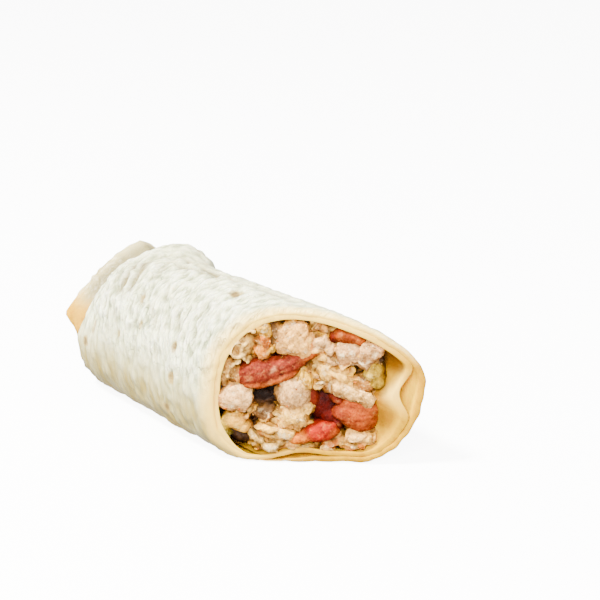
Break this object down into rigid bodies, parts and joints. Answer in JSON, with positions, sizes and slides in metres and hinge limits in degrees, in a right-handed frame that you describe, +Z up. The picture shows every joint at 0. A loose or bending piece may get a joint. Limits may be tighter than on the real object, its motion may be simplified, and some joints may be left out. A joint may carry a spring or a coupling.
{
  "type": "half shawarma wrap",
  "caption": "Half of a rolled flatbread wrap cut on the slant, with chicken, tomato, cucumber and onion showing at the cut and the other end folded shut.",
  "frame": {"origin": "middle of the base of the box round the part, on the surface it lies on", "axes": "+X along the roll from the folded end to the cut, +Z up, so the long side of the slanted cut is towards +Y"},
  "size_m": [0.1513, 0.0585, 0.0558],
  "materials": {
    "flatbread": "soft matte baked dough with a few toasted spots",
    "packed_filling": "moist chopped filling in shade",
    "chicken": "moist fibrous cooked meat with spice",
    "tomato": "wet cut flesh with smears of white sauce",
    "cucumber": "wet translucent flesh",
    "onion": "wet translucent layers"
  },
  "bodies": {
    "root": {"flatbread": "flatbread", "packed_filling": "packed_filling", "chicken_column": "chicken", "chicken_long": "chicken", "chicken_dome": "chicken", "chicken_shoulder": "chicken", "chicken_corner": "chicken", "chicken_curl": "chicken", "chicken_knuckle": "chicken", "chicken_crumb": "chicken", "chicken_spiced": "chicken", "chicken_shade": "chicken", "chicken_cream": "chicken", "tomato_wedge": "tomato", "tomato_slice_right": "tomato", "tomato_slice_base": "tomato", "tomato_deep": "tomato", "tomato_slice_top": "tomato", "cucumber_slice": "cucumber", "cucumber_rind": "cucumber", "onion_upper": "onion", "onion_lower": "onion"}
  },
  "joints": []
}
